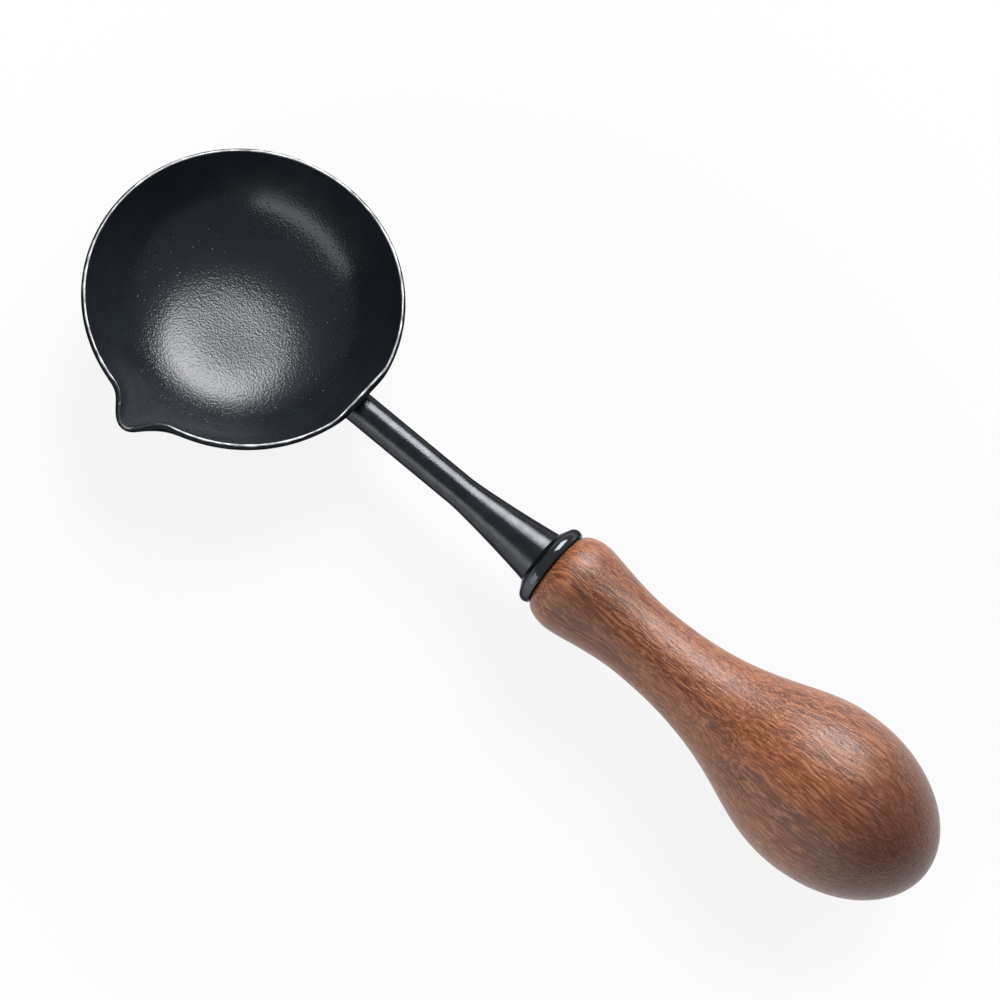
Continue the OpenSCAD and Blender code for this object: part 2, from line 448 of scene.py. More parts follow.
def inside(angle, lean, depth=flat_depth):
    """Points on the bowl's inside. Lean is the wall's angle from upright: 90 degrees is the floor's edge."""
    bent = lean > bend_lean
    z = np.where(bent, wall + bend_r * (1 - np.sin(lean)), arc_z - arc_r * np.sin(lean))
    lift = np.clip(1 - (bowl_h - z) / lip_depth, 0, None)
    reach = np.where(bent, bend_x + bend_r * np.cos(lean), arc_x + arc_r * np.cos(lean))
    free = reach + lip_reach * lip_share(angle, lift) * lift ** reach_fade
    facing = np.maximum(np.cos(angle), flat_facing)
    flat = (mouth_r - depth - (bowl_h - z) * math.tan(flat_lean)) / facing
    flat = np.where(np.cos(angle) > flat_facing, flat, 2 * mouth_r)
    r = soft_min(free, flat, flat_soft)
    z = z - lip_drop * lip_share(angle, lift) * lift ** drop_fade
    return np.stack([r * np.cos(angle), r * np.sin(angle), z], -1)


def outward(angle, lean, depth=flat_depth):
    """The direction out of the bowl at such points, from small steps round it and up its wall."""
    step = 0.005
    round_it = inside(angle + step, lean, depth) - inside(angle - step, lean, depth)
    up_it = inside(angle, lean - step, depth) - inside(angle, lean + step, depth)
    normal = np.cross(round_it, up_it)
    return normal / np.linalg.norm(normal, axis=-1, keepdims=True)


def outside(angle, lean):
    """Points on the bowl's outside, one sheet thickness away."""
    return inside(angle, lean, flat_depth_out) + wall * outward(angle, lean, flat_depth_out)


def rim_side(angle):
    """The level direction out of the rim."""
    side = outward(angle, rim_lean)
    side[..., 2] = 0
    return side / np.linalg.norm(side, axis=-1, keepdims=True)


def dip(r):
    """How far the inside lies below a floor with a sudden bend, so that the bend starts softly."""
    off = np.clip(r - bend_x, -soft_start, soft_start)
    soft = (8 * soft_start ** 3 - (off + soft_start) ** 3) / (12 * soft_start)
    return (soft - (soft_start ** 2 - np.maximum(off, 0) ** 2) / 2) / bend_r


lip_tip = inside(np.array(-lip_turn), np.array(rim_lean))
floor_dip = float(dip(0.0))
print("the lip's tip lies", round(float(-lip_tip[1]), 2), "mm to the side of the bowl's middle")
print("the middle of the floor lies", round(floor_dip, 2), "mm lower than its edge")


# %% Bowl mesh
bowl_columns = 384
floor_rows = 24
inside_rows = 96
outside_rows = 64
floor_lean = math.radians(90)
rim_round = 0.07
rim_outer_lean = math.radians(14.7)
rim_steps = 5

angles = np.arange(bowl_columns) * 2 * math.pi / bowl_columns - lip_turn
leans_up = np.linspace(floor_lean, rim_lean + rim_round / arc_r, inside_rows)
leans_down = np.linspace(rim_outer_lean, floor_lean, outside_rows)
rim = inside(angles, np.full(bowl_columns, rim_lean))
side = rim_side(angles)

level = np.stack([np.cos(angles), np.sin(angles), 0 * angles], -1)
rings = [level * r + [0, 0, wall] for r in np.linspace(bend_x / floor_rows, bend_x, floor_rows)[:-1]]
rings += [inside(angles, np.full(bowl_columns, lean)) for lean in leans_up]
for ring in rings:
    ring[:, 2] -= dip(np.hypot(ring[:, 0], ring[:, 1]))
wall_top = rings[-1]
wall_down = outside(angles, np.full(bowl_columns, rim_outer_lean))
edge_rings = []
for t in np.linspace(0, 1, rim_steps + 1)[1:]:
    edge_rings.append(wall_top * (1 - t) ** 2 + rim * 2 * t * (1 - t) + (rim + rim_round * side) * t ** 2)
band_end = rim + (rim_band - rim_round) * side
corner = rim + (rim_band + rim_round) * side
for t in np.linspace(0, 1, rim_steps + 1)[:-1]:
    edge_rings.append(band_end * (1 - t) ** 2 + corner * 2 * t * (1 - t) + wall_down * t ** 2)
first_edge = len(rings) - 1
outer_edge = len(rings) + rim_steps
rings += edge_rings
last_edge = len(rings)
rings += [outside(angles, np.full(bowl_columns, lean)) for lean in leans_down]

ring_count = len(rings)
points = np.concatenate(rings).tolist() + [[0, 0, wall - floor_dip], [0, 0, 0]]
grid = np.arange(ring_count * bowl_columns).reshape(ring_count, bowl_columns)
faces = []
for i in range(bowl_columns):
    j = (i + 1) % bowl_columns
    for k in range(ring_count - 1):
        faces.append((int(grid[k, i]), int(grid[k, j]), int(grid[k + 1, j]), int(grid[k + 1, i])))
    faces.append((int(grid[0, i]), int(grid[0, j]), ring_count * bowl_columns))
    faces.append((int(grid[-1, i]), int(grid[-1, j]), ring_count * bowl_columns + 1))
bowl = new_piece("bowl_pressing", points, faces)

# From the band's outer edge down, faces take the second finish. Both edges of the rim are marked for wear.
rows = np.array([min(face.vertices) // bowl_columns for face in bowl.data.polygons])
bowl.data.polygons.foreach_set("material_index", (rows >= outer_edge).astype(np.int32))
edge_wear = np.zeros(len(points), np.float32)
edge_wear[grid[first_edge:last_edge].ravel()] = 1
bowl.data.attributes.new("edge", "FLOAT", "POINT").data.foreach_set("value", edge_wear)

# %% [markdown]
# The rim was ground after coating, so a narrow band of bare steel runs round it and stops at the lip,
# where the wheel doesn't reach. It could be a mask in the coating's material. A thin ring of its own
# keeps the band crisp at any distance, and its width can wander as hand grinding does.

# %% Ground band on the rim
band_columns = 900
lip_clear = math.radians(11.5)
band_start = 0.02
band_width = 0.24
band_sink = 0.06
band_proud = 0.025
taper = math.radians(5)
end_width = 0.2

sweep = np.linspace(lip_clear, 2 * math.pi - lip_clear, band_columns) - lip_turn
from_end = np.minimum(sweep - sweep[0], sweep[-1] - sweep)
fade = np.clip(from_end / taper, 0, 1)
fade = fade * fade * (3 - 2 * fade)
wander = 1 + 0.12 * np.sin(7 * sweep + 0.6) + 0.08 * np.sin(23 * sweep + 2.1) + 0.07 * np.sin(61 * sweep)
width = band_width * wander * (end_width + (1 - end_width) * fade)
band_rim = inside(sweep, np.full(band_columns, rim_lean))
band_side = rim_side(sweep)
profile = [(0.0, -band_sink), (0.0, -0.4 * band_proud), (0.12, 0.6 * band_proud), (0.3, band_proud),
           (0.7, band_proud), (0.88, 0.6 * band_proud), (1.0, -0.4 * band_proud), (1.0, -band_sink)]
points = []
for share, height in profile:
    row = band_rim + (band_start + share * width)[:, None] * band_side
    row[:, 2] += height
    points.append(row)
grid = np.arange(len(profile) * band_columns).reshape(len(profile), band_columns)
faces = []
for k in range(len(profile)):
    after = (k + 1) % len(profile)
    faces += [(int(grid[k, i]), int(grid[k, i + 1]), int(grid[after, i + 1]), int(grid[after, i]))
              for i in range(band_columns - 1)]
faces.append(tuple(int(v) for v in grid[:, 0]))
faces.append(tuple(int(v) for v in grid[:, -1]))
rim_ring = new_piece("rim_ground_band", np.concatenate(points).tolist(), faces)

# %% [markdown]
# ## Neck, brazed joint and collar
#
# The neck is a turned bar that flares into the collar. Between its square end and the leaning wall sits
# the braze, which real filler pulls into a small hollow fillet. Its foot has to follow the bowl, so rays
# are cast at the bowl's mesh from the neck, and the fillet ends where they hit. The collar is a separate
# ring with a conical front, a rounded crest and a flat back for the washer.

# %% Neck
flare_pull = (1.4, 3.3)
flare_rise = 0.62
flare_steps = 40
straight_steps = 24
end_break = 0.1
tap_r = stud_r + seat_gap
tap_room = 0.8
tap_end = stud_x - tap_room
drill_half = math.radians(59)
drill_tip = tap_r / math.tan(drill_half)
lead_in = 0.12

flare = on_curve((neck_r, flare_x), (neck_r, flare_x + flare_pull[0]),
                 (seat_r - flare_rise, seat_x - flare_pull[1]), (seat_r, seat_x), flare_steps)
neck_outline = [[0, neck_x], [neck_r, neck_x]]
neck_outline += stretched((neck_r, neck_x + end_break), (neck_r, flare_x), straight_steps)
neck_outline += flare[:-1]
neck_outline += softened([flare[-2], (seat_r, seat_x, end_break), (tap_r + lead_in, seat_x)])[1:]
neck_outline += [[tap_r, seat_x - lead_in], [tap_r, tap_end], [0, tap_end - drill_tip]]
neck = turned("neck_bar", neck_outline)

# %% Braze fillet
braze_w = 0.32
braze_columns = 96
braze_steps = 6
braze_lumps = 0.035
braze_lap = 0.02
under_share = 0.5
under_sink = 0.1
foot_sink = 0.15
top_inset = 0.1

axis = Vector((math.cos(rise), 0, math.sin(rise)))
bowl_tree = BVHTree.FromPolygons([v.co for v in bowl.data.vertices], [p.vertices for p in bowl.data.polygons])


def wall_station(radius, turn):
    """Station where a line beside the neck's axis meets the bowl's outside, in millimetres."""
    start = Vector(on_axis(flare_x, radius * math.cos(turn), radius * math.sin(turn))) * mm
    hit = bowl_tree.ray_cast(start, -axis)[0] / mm
    return neck_x + (hit - Vector((neck_x, 0, neck_z))).dot(axis)


points = []
for i in range(braze_columns):
    turn = i * 2 * math.pi / braze_columns
    reach = braze_w + braze_lumps * (math.sin(5 * turn + 0.4) + 0.6 * math.sin(11 * turn + 1.9))
    foot = np.array((neck_r + reach, wall_station(neck_r + reach, turn)))
    corner = np.array((neck_r, wall_station(neck_r, turn) + braze_lap))
    top = np.array((neck_r, max(neck_x, corner[1] + reach)))
    under = np.array((neck_r * under_share, wall_station(neck_r * under_share, turn) - under_sink))
    hollow = [foot * (1 - t) ** 2 + corner * 2 * t * (1 - t) + top * t ** 2
              for t in np.linspace(0, 1, braze_steps + 1)]
    column = [under, foot - (0, foot_sink)] + hollow + [np.array((neck_r - top_inset, top[1] + braze_lap))]
    points += [on_axis(x, r * math.cos(turn), r * math.sin(turn)).tolist() for r, x in column]
column_size = len(points) // braze_columns
points += [on_axis(x, 0, 0).tolist() for x in (wall_station(0, 0) - under_sink, neck_x + braze_lap)]
faces = []
for i in range(braze_columns):
    here = i * column_size
    after = (i + 1) % braze_columns * column_size
    faces += [(here + k, after + k, after + k + 1, here + k + 1) for k in range(column_size - 1)]
    faces.append((here, after, len(points) - 2))
    faces.append((here + column_size - 1, after + column_size - 1, len(points) - 1))
braze = new_piece("braze_bead", points, faces)

# %% Collar and washer
front_lean = math.radians(60)
front_edge = 0.15
crest_round = 0.8
crest_steps = 40
back_break = 0.05
fine_break = 0.05
pocket_break = 0.03
bore_break = 0.08
recess_r = seat_r + seat_gap
bore_r = stud_r + loose_gap

front_r = seat_r + front_edge
crest_r = collar_r - crest_round
cone_r = crest_r + crest_round * math.cos(front_lean)
cone_x = collar_x + (cone_r - front_r) / math.tan(front_lean)
crest_x = cone_x + crest_round * math.sin(front_lean)
crest_end = math.asin((washer_x - back_break - crest_x) / crest_round)
crest = on_arc((crest_r, crest_x), (crest_round, crest_round), -math.degrees(front_lean),
               math.degrees(crest_end), crest_steps)
collar_outline = softened([(crest[-1][0] - back_break, washer_x), (bore_r, washer_x, bore_break),
                           (bore_r, seat_x, fine_break), (recess_r, seat_x, pocket_break),
                           (recess_r, collar_x, fine_break), (front_r, collar_x, fine_break),
                           (cone_r, cone_x)])[:-1] + crest
print("the collar's crest stands", round(crest_x - collar_x, 2), "mm behind its front edge")
collar = turned("collar_ring", collar_outline, columns=192)

punch_break = 0.07
washer_break = 0.09
washer_outline = softened([(bore_r, washer_x, punch_break), (washer_r, washer_x, washer_break),
                           (washer_r, face_x, washer_break), (bore_r, face_x, punch_break)])
washer = turned("fibre_washer", washer_outline, columns=160)

# %% [markdown]
# ## The screw
#
# A steel stud holds the handle, and a brass insert in the wood takes it. A thread is a groove that climbs
# one pitch for each turn, so the same groove function cuts the stud from outside and the insert from
# inside, and the two stay in step when the handle is unscrewed. Barbs and straight knurls keep the insert
# in the wood.

# %% Thread, stud and insert
pitch = 0.5
crest_flat = 0.125
flank = 0.625
thread_depth = 0.27
insert_thread = 0.15
rows_per_pitch = 10
stud_chamfer = 0.35
chamfer_steps = 6
tip_inner = 0.7
knurls = 28
knurl_depth = 0.06
barb_count = 4
barb_h = 0.25


def groove(turn, station):
    """Depth of the thread's groove from 0 on its crest to 1 at its root, on a right-hand helix."""
    phase = (station / pitch - turn / (2 * math.pi)) % 1
    return np.clip((np.abs(phase - 0.5) * 2 - crest_flat) / flank, 0, 1)


def cut_stud(turn, radius, station):
    """The stud's radius once the thread is rolled into it."""
    return np.minimum(radius, stud_r - thread_depth * groove(turn, station))


def cut_insert(turn, radius, station):
    """The insert's radius: threaded inside and knurled outside."""
    threaded = radius + insert_thread * groove(turn, station)
    knurled = radius - knurl_depth * (0.5 + 0.5 * np.cos(knurls * turn))
    return np.where(radius < (bore_r + insert_r) / 2, threaded, knurled)


stud_rows = int((stud_end_x - stud_x) / pitch * rows_per_pitch)
tip_r = stud_r - stud_chamfer
stud_outline = [[0, stud_x], [tip_r * tip_inner, stud_x], [tip_r, stud_x]]
stud_outline += stretched((tip_r, stud_x), (stud_r, stud_x + stud_chamfer), chamfer_steps)[1:]
stud_outline += stretched((stud_r, stud_x + stud_chamfer), (stud_r, stud_end_x - stud_chamfer), stud_rows)[1:]
stud_outline += stretched((stud_r, stud_end_x - stud_chamfer), (tip_r, stud_end_x), chamfer_steps)[1:]
stud_outline += [[tip_r * tip_inner, stud_end_x], [0, stud_end_x]]
stud = turned("stud_thread", stud_outline, columns=72, carve=cut_stud)

insert_bore = stud_r + turning_gap
insert_rows = int((insert_end_x - insert_x) / pitch * rows_per_pitch)
barb_l = (insert_end_x - insert_x) / barb_count
insert_outline = stretched((insert_bore, insert_end_x), (insert_bore, insert_x), insert_rows)
# Each barb, as lengths below the insert's radius and along the insert
barb = [(0.08, 0.02), (0, 0.1), (barb_h * 0.5, barb_l * 0.5), (barb_h, barb_l - 0.04)]
for i in range(barb_count):
    insert_outline += [[insert_r - sink, insert_x + i * barb_l + run] for sink, run in barb]
insert_outline.append([insert_r - barb_h - 0.05, insert_end_x])
insert = turned("brass_insert", insert_outline, columns=168, carve=cut_insert)

# %% [markdown]
# ## The handle
#
# The grip is turned from one stick of red-brown hardwood: a rounded shoulder, a waist for two fingers and
# a pear-shaped bulb. Four curves that share their tangents make the outline. A hand-sanded turning is
# never a perfect solid of revolution, so its radius wavers by a few hundredths of a millimetre, which
# keeps the highlights from looking drawn.

# %% Handle
face_r = 4.0
shoulder_r = 5.33
waist_r = 4.25
waist_pull = (1.4, 3.85)
bulb_pull = (14, 8.1)
pocket_r = insert_r + seat_gap
mouth_break = 0.15
stud_room = 2.2
stud_room_x = insert_end_x + stud_room
bore_tip = bore_r / math.tan(drill_half)
butt_turn = 89.2
sanding = 0.02


def sanded(turn, radius, station):
    """The wood's radius with the slow waver of hand sanding, outside only."""
    waver = np.sin(2 * turn + 0.31 * station) + 0.7 * np.sin(3 * turn - 0.47 * station + 1.3)
    waver += 0.6 * np.sin(5 * turn + 0.83 * station + 0.4)
    return np.where(radius > face_r, radius + sanding * 0.5 * waver * np.clip(radius - face_r, 0, 1), radius)


handle_outline = [[0, stud_room_x + bore_tip], [bore_r, stud_room_x], [bore_r, insert_end_x]]
handle_outline += softened([(bore_r, insert_end_x), (pocket_r, insert_end_x, pocket_break),
                            (pocket_r, face_x, mouth_break), (face_r, face_x)])[1:-1]
handle_outline += on_arc((face_r, shoulder_x), (shoulder_r - face_r, shoulder_x - face_x), -90, 0, 32)
handle_outline += on_curve((shoulder_r, shoulder_x), (shoulder_r, shoulder_x + waist_pull[0]),
                           (waist_r, waist_x - waist_pull[1]), (waist_r, waist_x), 48)
handle_outline += on_curve((waist_r, waist_x), (waist_r, waist_x + bulb_pull[0]),
                           (bulb_r, bulb_x - bulb_pull[1]), (bulb_r, bulb_x), 84)
handle_outline += on_arc((0, bulb_x), (bulb_r, butt_x - bulb_x), 0, butt_turn, 72)[1:]
handle_outline.append([0, butt_x])
handle = turned("handle_wood", handle_outline, columns=224, carve=sanded)

# %% [markdown]
# ## Shared finishes
#
# Two effects come back in several materials, so each is a node group with its own inputs: the grain of a
# sprayed coating, and the fine rings that turning leaves. A group puts out only heights and masks. The
# shader itself stays in each material.

# %% Node group: grain of a sprayed coating
def new_group(name, inputs, outputs):
    """An empty node group with number sockets, and its input and output nodes."""
    group = bpy.data.node_groups.new(name, "ShaderNodeTree")
    for label, value in inputs.items():
        group.interface.new_socket(label, in_out="INPUT", socket_type="NodeSocketFloat").default_value = value
    for label in outputs:
        group.interface.new_socket(label, in_out="OUTPUT", socket_type="NodeSocketFloat")
    print("group", name, "gives", outputs)
    return group, group.nodes.new("NodeGroupInput"), group.nodes.new("NodeGroupOutput")


def placed(tree, group, values):
    """A node that places a group in a material, with its own values."""
    made = tree.nodes.new("ShaderNodeGroup")
    made.node_tree = group
    fill(tree, made, values)
    return made


def in_mm(tree):
    """The surface point in millimetres."""
    spot = put(tree, "ShaderNodeTexCoord").outputs["Object"]
    return put(tree, "ShaderNodeVectorMath", {0: spot, "Scale": 1 / mm}, operation="SCALE").outputs[0]


grain_inputs = {"Grains per mm": 5.0, "Roundness": 0.6, "Spikes": 0.0}
coating_grain, given, made = new_group("coating_grain", grain_inputs, ["Height", "Specks", "Patches"])
tree = coating_grain
spot = in_mm(tree)
fineness = given.outputs["Grains per mm"]
grains = put(tree, "ShaderNodeTexVoronoi", {"Vector": spot, "Scale": fineness, "Smoothness": 0.6},
             feature="SMOOTH_F1")
finer = maths(tree, "MULTIPLY", fineness, 1.3)
ripple = put(tree, "ShaderNodeTexNoise", {"Vector": spot, "Scale": finer, "Detail": 1.5})
domes = maths(tree, "SUBTRACT", 1.0, grains.outputs["Distance"])
domes = maths(tree, "MULTIPLY", domes, given.outputs["Roundness"])
sparser = maths(tree, "MULTIPLY", fineness, 0.65)
specks = put(tree, "ShaderNodeTexVoronoi", {"Vector": spot, "Scale": sparser}, feature="F1")
chance = put(tree, "ShaderNodeSeparateColor", {0: specks.outputs["Color"]})
tall = maths(tree, "POWER", chance.outputs[0], 2.0)
cones = maths(tree, "MULTIPLY", ramp(tree, specks.outputs["Distance"], 0.03, 0.32, 1.0, 0.0), tall)
spikes = maths(tree, "MULTIPLY", cones, given.outputs["Spikes"])
height = maths(tree, "ADD", maths(tree, "ADD", domes, ripple.outputs[0]), spikes)
patches = put(tree, "ShaderNodeTexNoise", {"Vector": spot, "Scale": 0.35, "Detail": 3.0})
fill(tree, made, {"Height": height, "Specks": cones, "Patches": patches.outputs[0]})

# %% Node group: rings left by turning
turning_marks, given, made = new_group("turning_marks", {"Rings per mm": 8.0}, ["Height", "Tone"])
tree = turning_marks
along = put(tree, "ShaderNodeSeparateXYZ", {0: in_mm(tree)})
ring_place = maths(tree, "MULTIPLY", along.outputs["X"], given.outputs["Rings per mm"])
ring_noise = put(tree, "ShaderNodeTexNoise", {"W": ring_place, "Scale": 1.0, "Detail": 2.0},
                 noise_dimensions="1D")
slow_noise = put(tree, "ShaderNodeTexNoise", {"Vector": in_mm(tree), "Scale": 0.8, "Detail": 3.0})
fill(tree, made, {"Height": ring_noise.outputs[0], "Tone": slow_noise.outputs[0]})

# %% [markdown]
# ## Coatings and metals
#
# The bowl wears a black release coating with the feel of fine sandpaper. On the floor, which is scraped
# clean after each seal, it is duller, and the softbox shows as a soft disc. Higher up each grain is a
# small glossy dome, so the disc breaks into sparks at its edge. One even roughness would give either a
# blur or a mirror, so the finish changes with the height in the bowl: rough with a thin clear layer on
# the floor, glossy on the bend, duller again on the wall. Low in the bowl, pale specks among the grains
# are painted glints that add to the sparks. Where the rim's edges have been knocked, specks of steel show.

# %% Bowl coating
coating, tree, shader = new_material("bowl_coating")
grain = placed(tree, coating_grain, {"Grains per mm": 4.0, "Roundness": 0.8})
specks = grain.outputs["Specks"]
patches = grain.outputs["Patches"]
# Heights are in millimetres above the table: the floor lies near 0.5 and the rim near 10.8
up = put(tree, "ShaderNodeSeparateXYZ", {0: in_mm(tree)}).outputs["Z"]

# Relief: the grain fades up the wall, and single tall grains stand out most on the bend
sparks = maths(tree, "MULTIPLY", specks, ramp(tree, up, 0.8, 2.2, 0.6, 1.4))
sparks = maths(tree, "MULTIPLY", sparks, ramp(tree, up, 3.0, 7.0, 1.0, 0.1))
height = maths(tree, "MULTIPLY", grain.outputs["Height"], ramp(tree, up, 1.5, 5.0, 1.0, 0.25))
bumped(tree, shader, maths(tree, "ADD", height, sparks), 0.036)

# Colour: mottled black, pale specks low in the bowl as painted glints, bare steel on knocked edges
shade = tint(tree, ramp(tree, patches, 0.3, 0.7), (0.0132, 0.0159, 0.0209, 1), (0.0154, 0.0185, 0.0247, 1))
# Pale specks among the low grains are painted glints, not a real pale material.
painted_glints = maths(tree, "MULTIPLY", ramp(tree, specks, 0.52, 0.74), ramp(tree, up, 2.0, 6.0, 1.0, 0.0))
shade = tint(tree, painted_glints, shade, (0.2, 0.205, 0.215, 1))
worn = put(tree, "ShaderNodeAttribute", attribute_name="edge")
chips = put(tree, "ShaderNodeTexNoise", {"Vector": in_mm(tree), "Scale": 1.6, "Detail": 4.0})
bare = maths(tree, "MULTIPLY", worn.outputs["Fac"], ramp(tree, chips.outputs[0], 0.62, 0.68))
shade = tint(tree, bare, shade, (0.4, 0.4, 0.4, 1))

# Gloss: a dull floor under a clear layer, a glossy bend, a duller wall, and shine on the tall grains
dullness = maths(tree, "ADD", ramp(tree, up, 0.9, 3.0, 0.27, 0.155), ramp(tree, patches, 0.2, 0.8, 0.0, 0.04))
dullness = maths(tree, "ADD", dullness, ramp(tree, up, 4.5, 7.5, 0.0, 0.11))
dullness = maths(tree, "SUBTRACT", dullness, maths(tree, "MULTIPLY", specks, 0.15))
clear_layer = ramp(tree, up, 0.8, 3.0, 0.3, 0.0)
fill(tree, shader, {"Base Color": shade, "Metallic": bare, "Roughness": dullness, "IOR": 1.61,
                    "Coat Weight": clear_layer, "Coat Roughness": 0.27})
dress(bowl, coating)

# %% [markdown]
# Outside, the same coating has stood over flames. It is dull and nearly free of gloss, with paler, ashy
# patches. It gets a rougher material of its own, a metallic shader with a nearly black colour and tint,
# which mirrors next to nothing even where the surface turns away.

# %% Bowl outside, dulled by flame
sooty, tree, shader = new_material("bowl_outside")
grain = placed(tree, coating_grain, {"Grains per mm": 4.6, "Roundness": 0.7, "Spikes": 0.5})
patches = grain.outputs["Patches"]
shade = tint(tree, ramp(tree, patches, 0.35, 0.7), (0.018, 0.02, 0.024, 1), (0.03, 0.032, 0.036, 1))
bumped(tree, shader, grain.outputs["Height"], 0.014)
dullness = ramp(tree, patches, 0.25, 0.75, 0.4, 0.55)
fill(tree, shader, {"Base Color": shade, "Roughness": dullness, "Metallic": 1.0,
                    "Specular Tint": (0.06, 0.06, 0.065, 1)})
dress(bowl, sooty)

# %% [markdown]
# Neck and collar are blackened steel. Black paint would mirror the white floor strongly at its edges, and
# these edges stay dark, as on dark metal. A Principled shader that is mostly metallic gives that: its
# base colour is how much it mirrors when seen head on, and a grey specular tint holds the glancing
# reflection down. The neck is dipped and a little grainy, and the collar is polished, so one function
# makes both from their own numbers.

# %% Neck and collar blacks
def blackened(name, grain_values, rings_per_mm, ring_share, depth, colours, rough, edge_tint):
    """Blackened steel with some coating grain and some turning rings."""
    black, tree, shader = new_material(name)
    grain = placed(tree, coating_grain, grain_values)
    rings = placed(tree, turning_marks, {"Rings per mm": rings_per_mm})
    ring_height = maths(tree, "MULTIPLY", rings.outputs["Height"], ring_share)
    bumped(tree, shader, maths(tree, "ADD", grain.outputs["Height"], ring_height), depth)
    shade = tint(tree, ramp(tree, rings.outputs["Tone"], 0.3, 0.7), *colours)
    dullness = ramp(tree, grain.outputs["Patches"], 0.25, 0.75, *rough)
    fill(tree, shader, {"Base Color": shade, "Roughness": dullness, "Metallic": 0.9,
                        "Specular Tint": edge_tint})
    return black


neck_black = blackened("neck_black", {"Grains per mm": 7.0, "Roundness": 0.6}, 6.0, 0.4, 0.014,
                       ((0.058, 0.06, 0.065, 1), (0.074, 0.076, 0.081, 1)), (0.14, 0.21),
                       (0.17, 0.17, 0.18, 1))
collar_black = blackened("collar_black", {"Grains per mm": 2.0, "Roundness": 0.2}, 10.0, 0.2, 0.003,
                         ((0.078, 0.08, 0.086, 1), (0.097, 0.099, 0.105, 1)), (0.09, 0.15),
                         (0.24, 0.24, 0.26, 1))
dress(neck, neck_black)
dress(braze, neck_black)
dress(collar, collar_black)

# %% [markdown]
# The bare metals are the ground rim, the steel stud and the brass insert. Grinding on the rim runs round
# the bowl, so its scratches follow the angle about the bowl's own axis, while the lathe's rings on the
# insert follow the handle's axis. The washer is hard fibre: dull, slightly mottled, with pressed layers.

# %% Ground steel
ground_steel, tree, shader = new_material("ground_steel")
spot = put(tree, "ShaderNodeSeparateXYZ", {0: in_mm(tree)})
round_it = maths(tree, "MULTIPLY", maths(tree, "ARCTAN2", spot.outputs["Y"], spot.outputs["X"]), mouth_r)
from_axis = maths(tree, "SQRT", maths(tree, "ADD", maths(tree, "POWER", spot.outputs["X"], 2.0),
                                      maths(tree, "POWER", spot.outputs["Y"], 2.0)))
lay = put(tree, "ShaderNodeCombineXYZ", {0: maths(tree, "MULTIPLY", round_it, 0.8),
                                         1: maths(tree, "MULTIPLY", from_axis, 30.0)})
scratches = put(tree, "ShaderNodeTexNoise", {"Vector": lay.outputs[0], "Scale": 1.0, "Detail": 3.0})
smear = put(tree, "ShaderNodeTexNoise", {"Vector": in_mm(tree), "Scale": 0.9, "Detail": 4.0})
shade = tint(tree, ramp(tree, smear.outputs[0], 0.3, 0.7), (0.2, 0.2, 0.205, 1), (0.55, 0.55, 0.55, 1))
dullness = ramp(tree, scratches.outputs[0], 0.3, 0.7, 0.4, 0.6)
bumped(tree, shader, scratches.outputs[0], 0.006)
fill(tree, shader, {"Base Color": shade, "Roughness": dullness, "Metallic": 1.0})
dress(rim_ring, ground_steel)


# %% Rolled steel, turned brass and fibre
def turned_metal(name, dark, light, rough, rings_per_mm):
    """A bare metal with the rings that turning or rolling leaves, and slow staining."""
    metal, tree, shader = new_material(name)
    rings = placed(tree, turning_marks, {"Rings per mm": rings_per_mm})
    shade = tint(tree, ramp(tree, rings.outputs["Tone"], 0.25, 0.75), dark, light)
    dullness = ramp(tree, rings.outputs["Height"], 0.3, 0.7, *rough)
    bumped(tree, shader, rings.outputs["Height"], 0.004)
    fill(tree, shader, {"Base Color": shade, "Roughness": dullness, "Metallic": 1.0})
    return metal


dress(stud, turned_metal("rolled_steel", (0.42, 0.42, 0.43, 1), (0.62, 0.62, 0.62, 1), (0.25, 0.38), 5.0))
dress(insert, turned_metal("turned_brass", (0.6, 0.4, 0.15, 1), (0.8, 0.58, 0.26, 1), (0.2, 0.35), 9.0))

fibre, tree, shader = new_material("pressed_fibre")
grain = placed(tree, coating_grain, {"Grains per mm": 5.0, "Roundness": 0.4})
layers = grain.outputs["Height"]
shade = tint(tree, ramp(tree, layers, 0.4, 1.0), (0.005, 0.0045, 0.0045, 1), (0.011, 0.009, 0.0085, 1))
bumped(tree, shader, layers, 0.012)
dullness = ramp(tree, grain.outputs["Patches"], 0.3, 0.7, 0.65, 0.8)
fill(tree, shader, {"Base Color": shade, "Roughness": dullness, "Specular IOR Level": 0.15})
dress(washer, fibre)

# %% [markdown]
# ## Wood
#
# The handle is an oiled, open-pored red-brown hardwood with interlocked grain: broad growth bands, fine
# fibres along the stick, short flecks where the grain dips in and out of the surface, and dark pores like
# pen strokes. The pattern is solid, made from the point in space and not from a flat picture, so bands
# run through the wood and show curves where the bulb cuts them, as they do on a real turning. The butt
# shows end grain, which drinks more oil and is darker. Its colour is also darkened as painted shade, where
# it turns away from the lamps.

# %% Wood
wood, tree, shader = new_material("oiled_wood")
spot = in_mm(tree)


def stretched_noise(along, over, detail, source, seed=0.0):
    """Noise drawn out along the stick. Along and over are cycles per millimetre with and across the grain."""
    stretch = {"Vector": source, "Location": (seed, seed, seed), "Scale": (along, over, over)}
    lay = put(tree, "ShaderNodeMapping", stretch)
    noise = put(tree, "ShaderNodeTexNoise", {"Vector": lay.outputs[0], "Scale": 1.0, "Detail": detail})
    return noise.outputs[0]


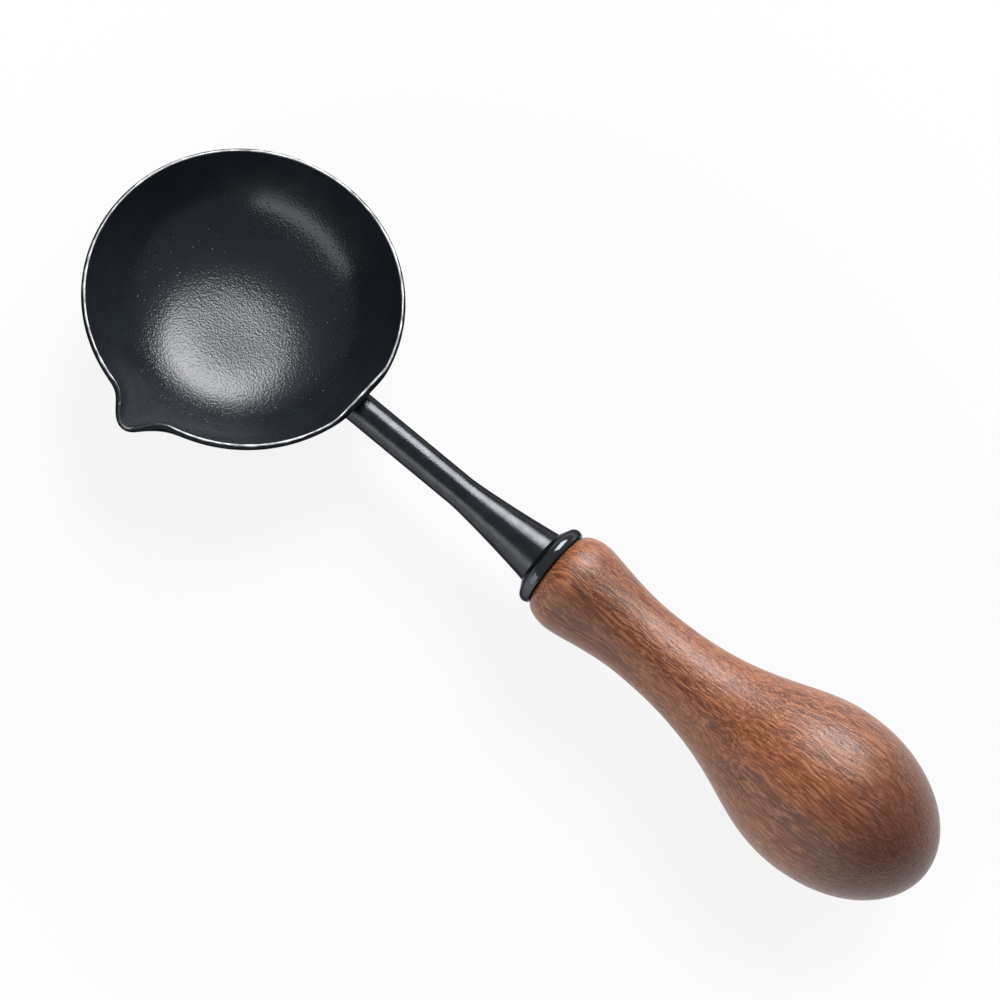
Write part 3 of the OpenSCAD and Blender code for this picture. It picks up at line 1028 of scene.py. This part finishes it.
def pushed(source, along, over, reach):
    """The source point, pushed sideways by slow noise, so that straight grain starts to wander."""
    lay = put(tree, "ShaderNodeMapping", {"Vector": source, "Scale": (along, over, over)})
    noise = put(tree, "ShaderNodeTexNoise", {"Vector": lay.outputs[0], "Scale": 1.0, "Detail": 1.0})
    middle = {0: noise.outputs[1], 1: (0.5, 0.5, 0.5)}
    around = put(tree, "ShaderNodeVectorMath", middle, operation="SUBTRACT")
    sideways = {0: around.outputs[0], 1: (0.0, reach, reach)}
    shift = put(tree, "ShaderNodeVectorMath", sideways, operation="MULTIPLY")
    return put(tree, "ShaderNodeVectorMath", {0: source, 1: shift.outputs[0]}, operation="ADD").outputs[0]


# Patterns: bands, fibres, flecks, dashes, grit and pores
wavy = pushed(pushed(spot, 0.035, 0.05, 7.0), 0.22, 0.5, 1.1)
bands = stretched_noise(0.018, 0.42, 2.0, wavy, 3.7)
fibres = stretched_noise(0.13, 4.2, 3.0, wavy, 11.0)
flecks = stretched_noise(0.5, 4.4, 2.5, wavy, 23.0)
dashes = stretched_noise(0.3, 4.0, 2.0, wavy, 57.0)
grit = stretched_noise(5.0, 9.0, 1.0, spot, 71.0)
pore_lay = put(tree, "ShaderNodeMapping", {"Vector": wavy, "Scale": (0.9, 4.0, 4.0)})
pores = put(tree, "ShaderNodeTexVoronoi", {"Vector": pore_lay.outputs[0], "Scale": 1.0}, feature="F1")
pore_gate = ramp(tree, stretched_noise(0.1, 1.2, 2.0, wavy, 41.0), 0.5, 0.66)
pore = maths(tree, "MULTIPLY", ramp(tree, pores.outputs["Distance"], 0.12, 0.3, 1.0, 0.0), pore_gate)

# Colour: each pattern tints what lies under it
body = tint(tree, ramp(tree, bands, 0.36, 0.62), (0.16, 0.042, 0.0143, 1), (0.304, 0.085, 0.029, 1))
body = tint(tree, ramp(tree, fibres, 0.44, 0.58, 0.0, 0.55), body, (0.384, 0.122, 0.046, 1))
body = tint(tree, ramp(tree, flecks, 0.53, 0.6, 0.0, 0.65), body, (0.53, 0.2, 0.085, 1))
body = tint(tree, ramp(tree, flecks, 0.36, 0.46, 0.5, 0.0), body, (0.085, 0.024, 0.0105, 1))
body = tint(tree, ramp(tree, dashes, 0.32, 0.4, 0.65, 0.0), body, (0.072, 0.021, 0.01, 1))
body = tint(tree, maths(tree, "MULTIPLY", pore, 0.65), body, (0.04, 0.014, 0.008, 1))
# Surfaces that face along the stick to the butt get darker: partly real end grain, partly painted shade where
# the butt turns away from the lamps.
facing = put(tree, "ShaderNodeSeparateXYZ", {0: put(tree, "ShaderNodeTexCoord").outputs["Normal"]})
end_grain_and_painted_shade = ramp(tree, facing.outputs["X"], -0.15, 0.5, 0.0, 0.74)
body = tint(tree, end_grain_and_painted_shade, body, (0.085, 0.032, 0.02, 1))

# Relief and gloss: fibres stand proud, and pores are sunk and dull
relief = maths(tree, "ADD", maths(tree, "MULTIPLY", fibres, 0.3), flecks)
relief = maths(tree, "ADD", relief, maths(tree, "MULTIPLY", grit, 0.3))
relief = maths(tree, "SUBTRACT", relief, maths(tree, "MULTIPLY", pore, 0.5))
bumped(tree, shader, relief, 0.085)
dullness = maths(tree, "ADD", ramp(tree, fibres, 0.3, 0.7, 0.28, 0.4), maths(tree, "MULTIPLY", pore, 0.2))
fill(tree, shader, {"Base Color": body, "Roughness": dullness, "IOR": 1.5, "Coat Weight": 0.18,
                    "Coat Roughness": 0.34})
dress(handle, wood)

# %% [markdown]
# ## Putting the pieces on their bodies
#
# Each piece rides on the body that carries its solid, so unscrewing the handle moves the wood and the insert
# together, while the washer rides on a body of its own. Each also names the solid that it stands for, which
# is hidden, and the name of its finish.

# %% Bodies, replaced solids and finishes
pieces = [
    (bowl, "spoon_head", "bowl", "bowl_coating"),
    (rim_ring, "spoon_head", None, "steel"),
    (braze, "spoon_head", "braze_fillet", "neck_black"),
    (neck, "spoon_head", "neck", "neck_black"),
    (collar, "spoon_head", "collar", "collar_black"),
    (washer, "washer", "washer", "fibre"),
    (stud, "spoon_head", "stud", "steel"),
    (insert, "grip", "insert", "brass"),
    (handle, "grip", "handle", "wood"),
]
for piece, body, node, finish in pieces:
    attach(piece, body)
    if node:
        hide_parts(node)
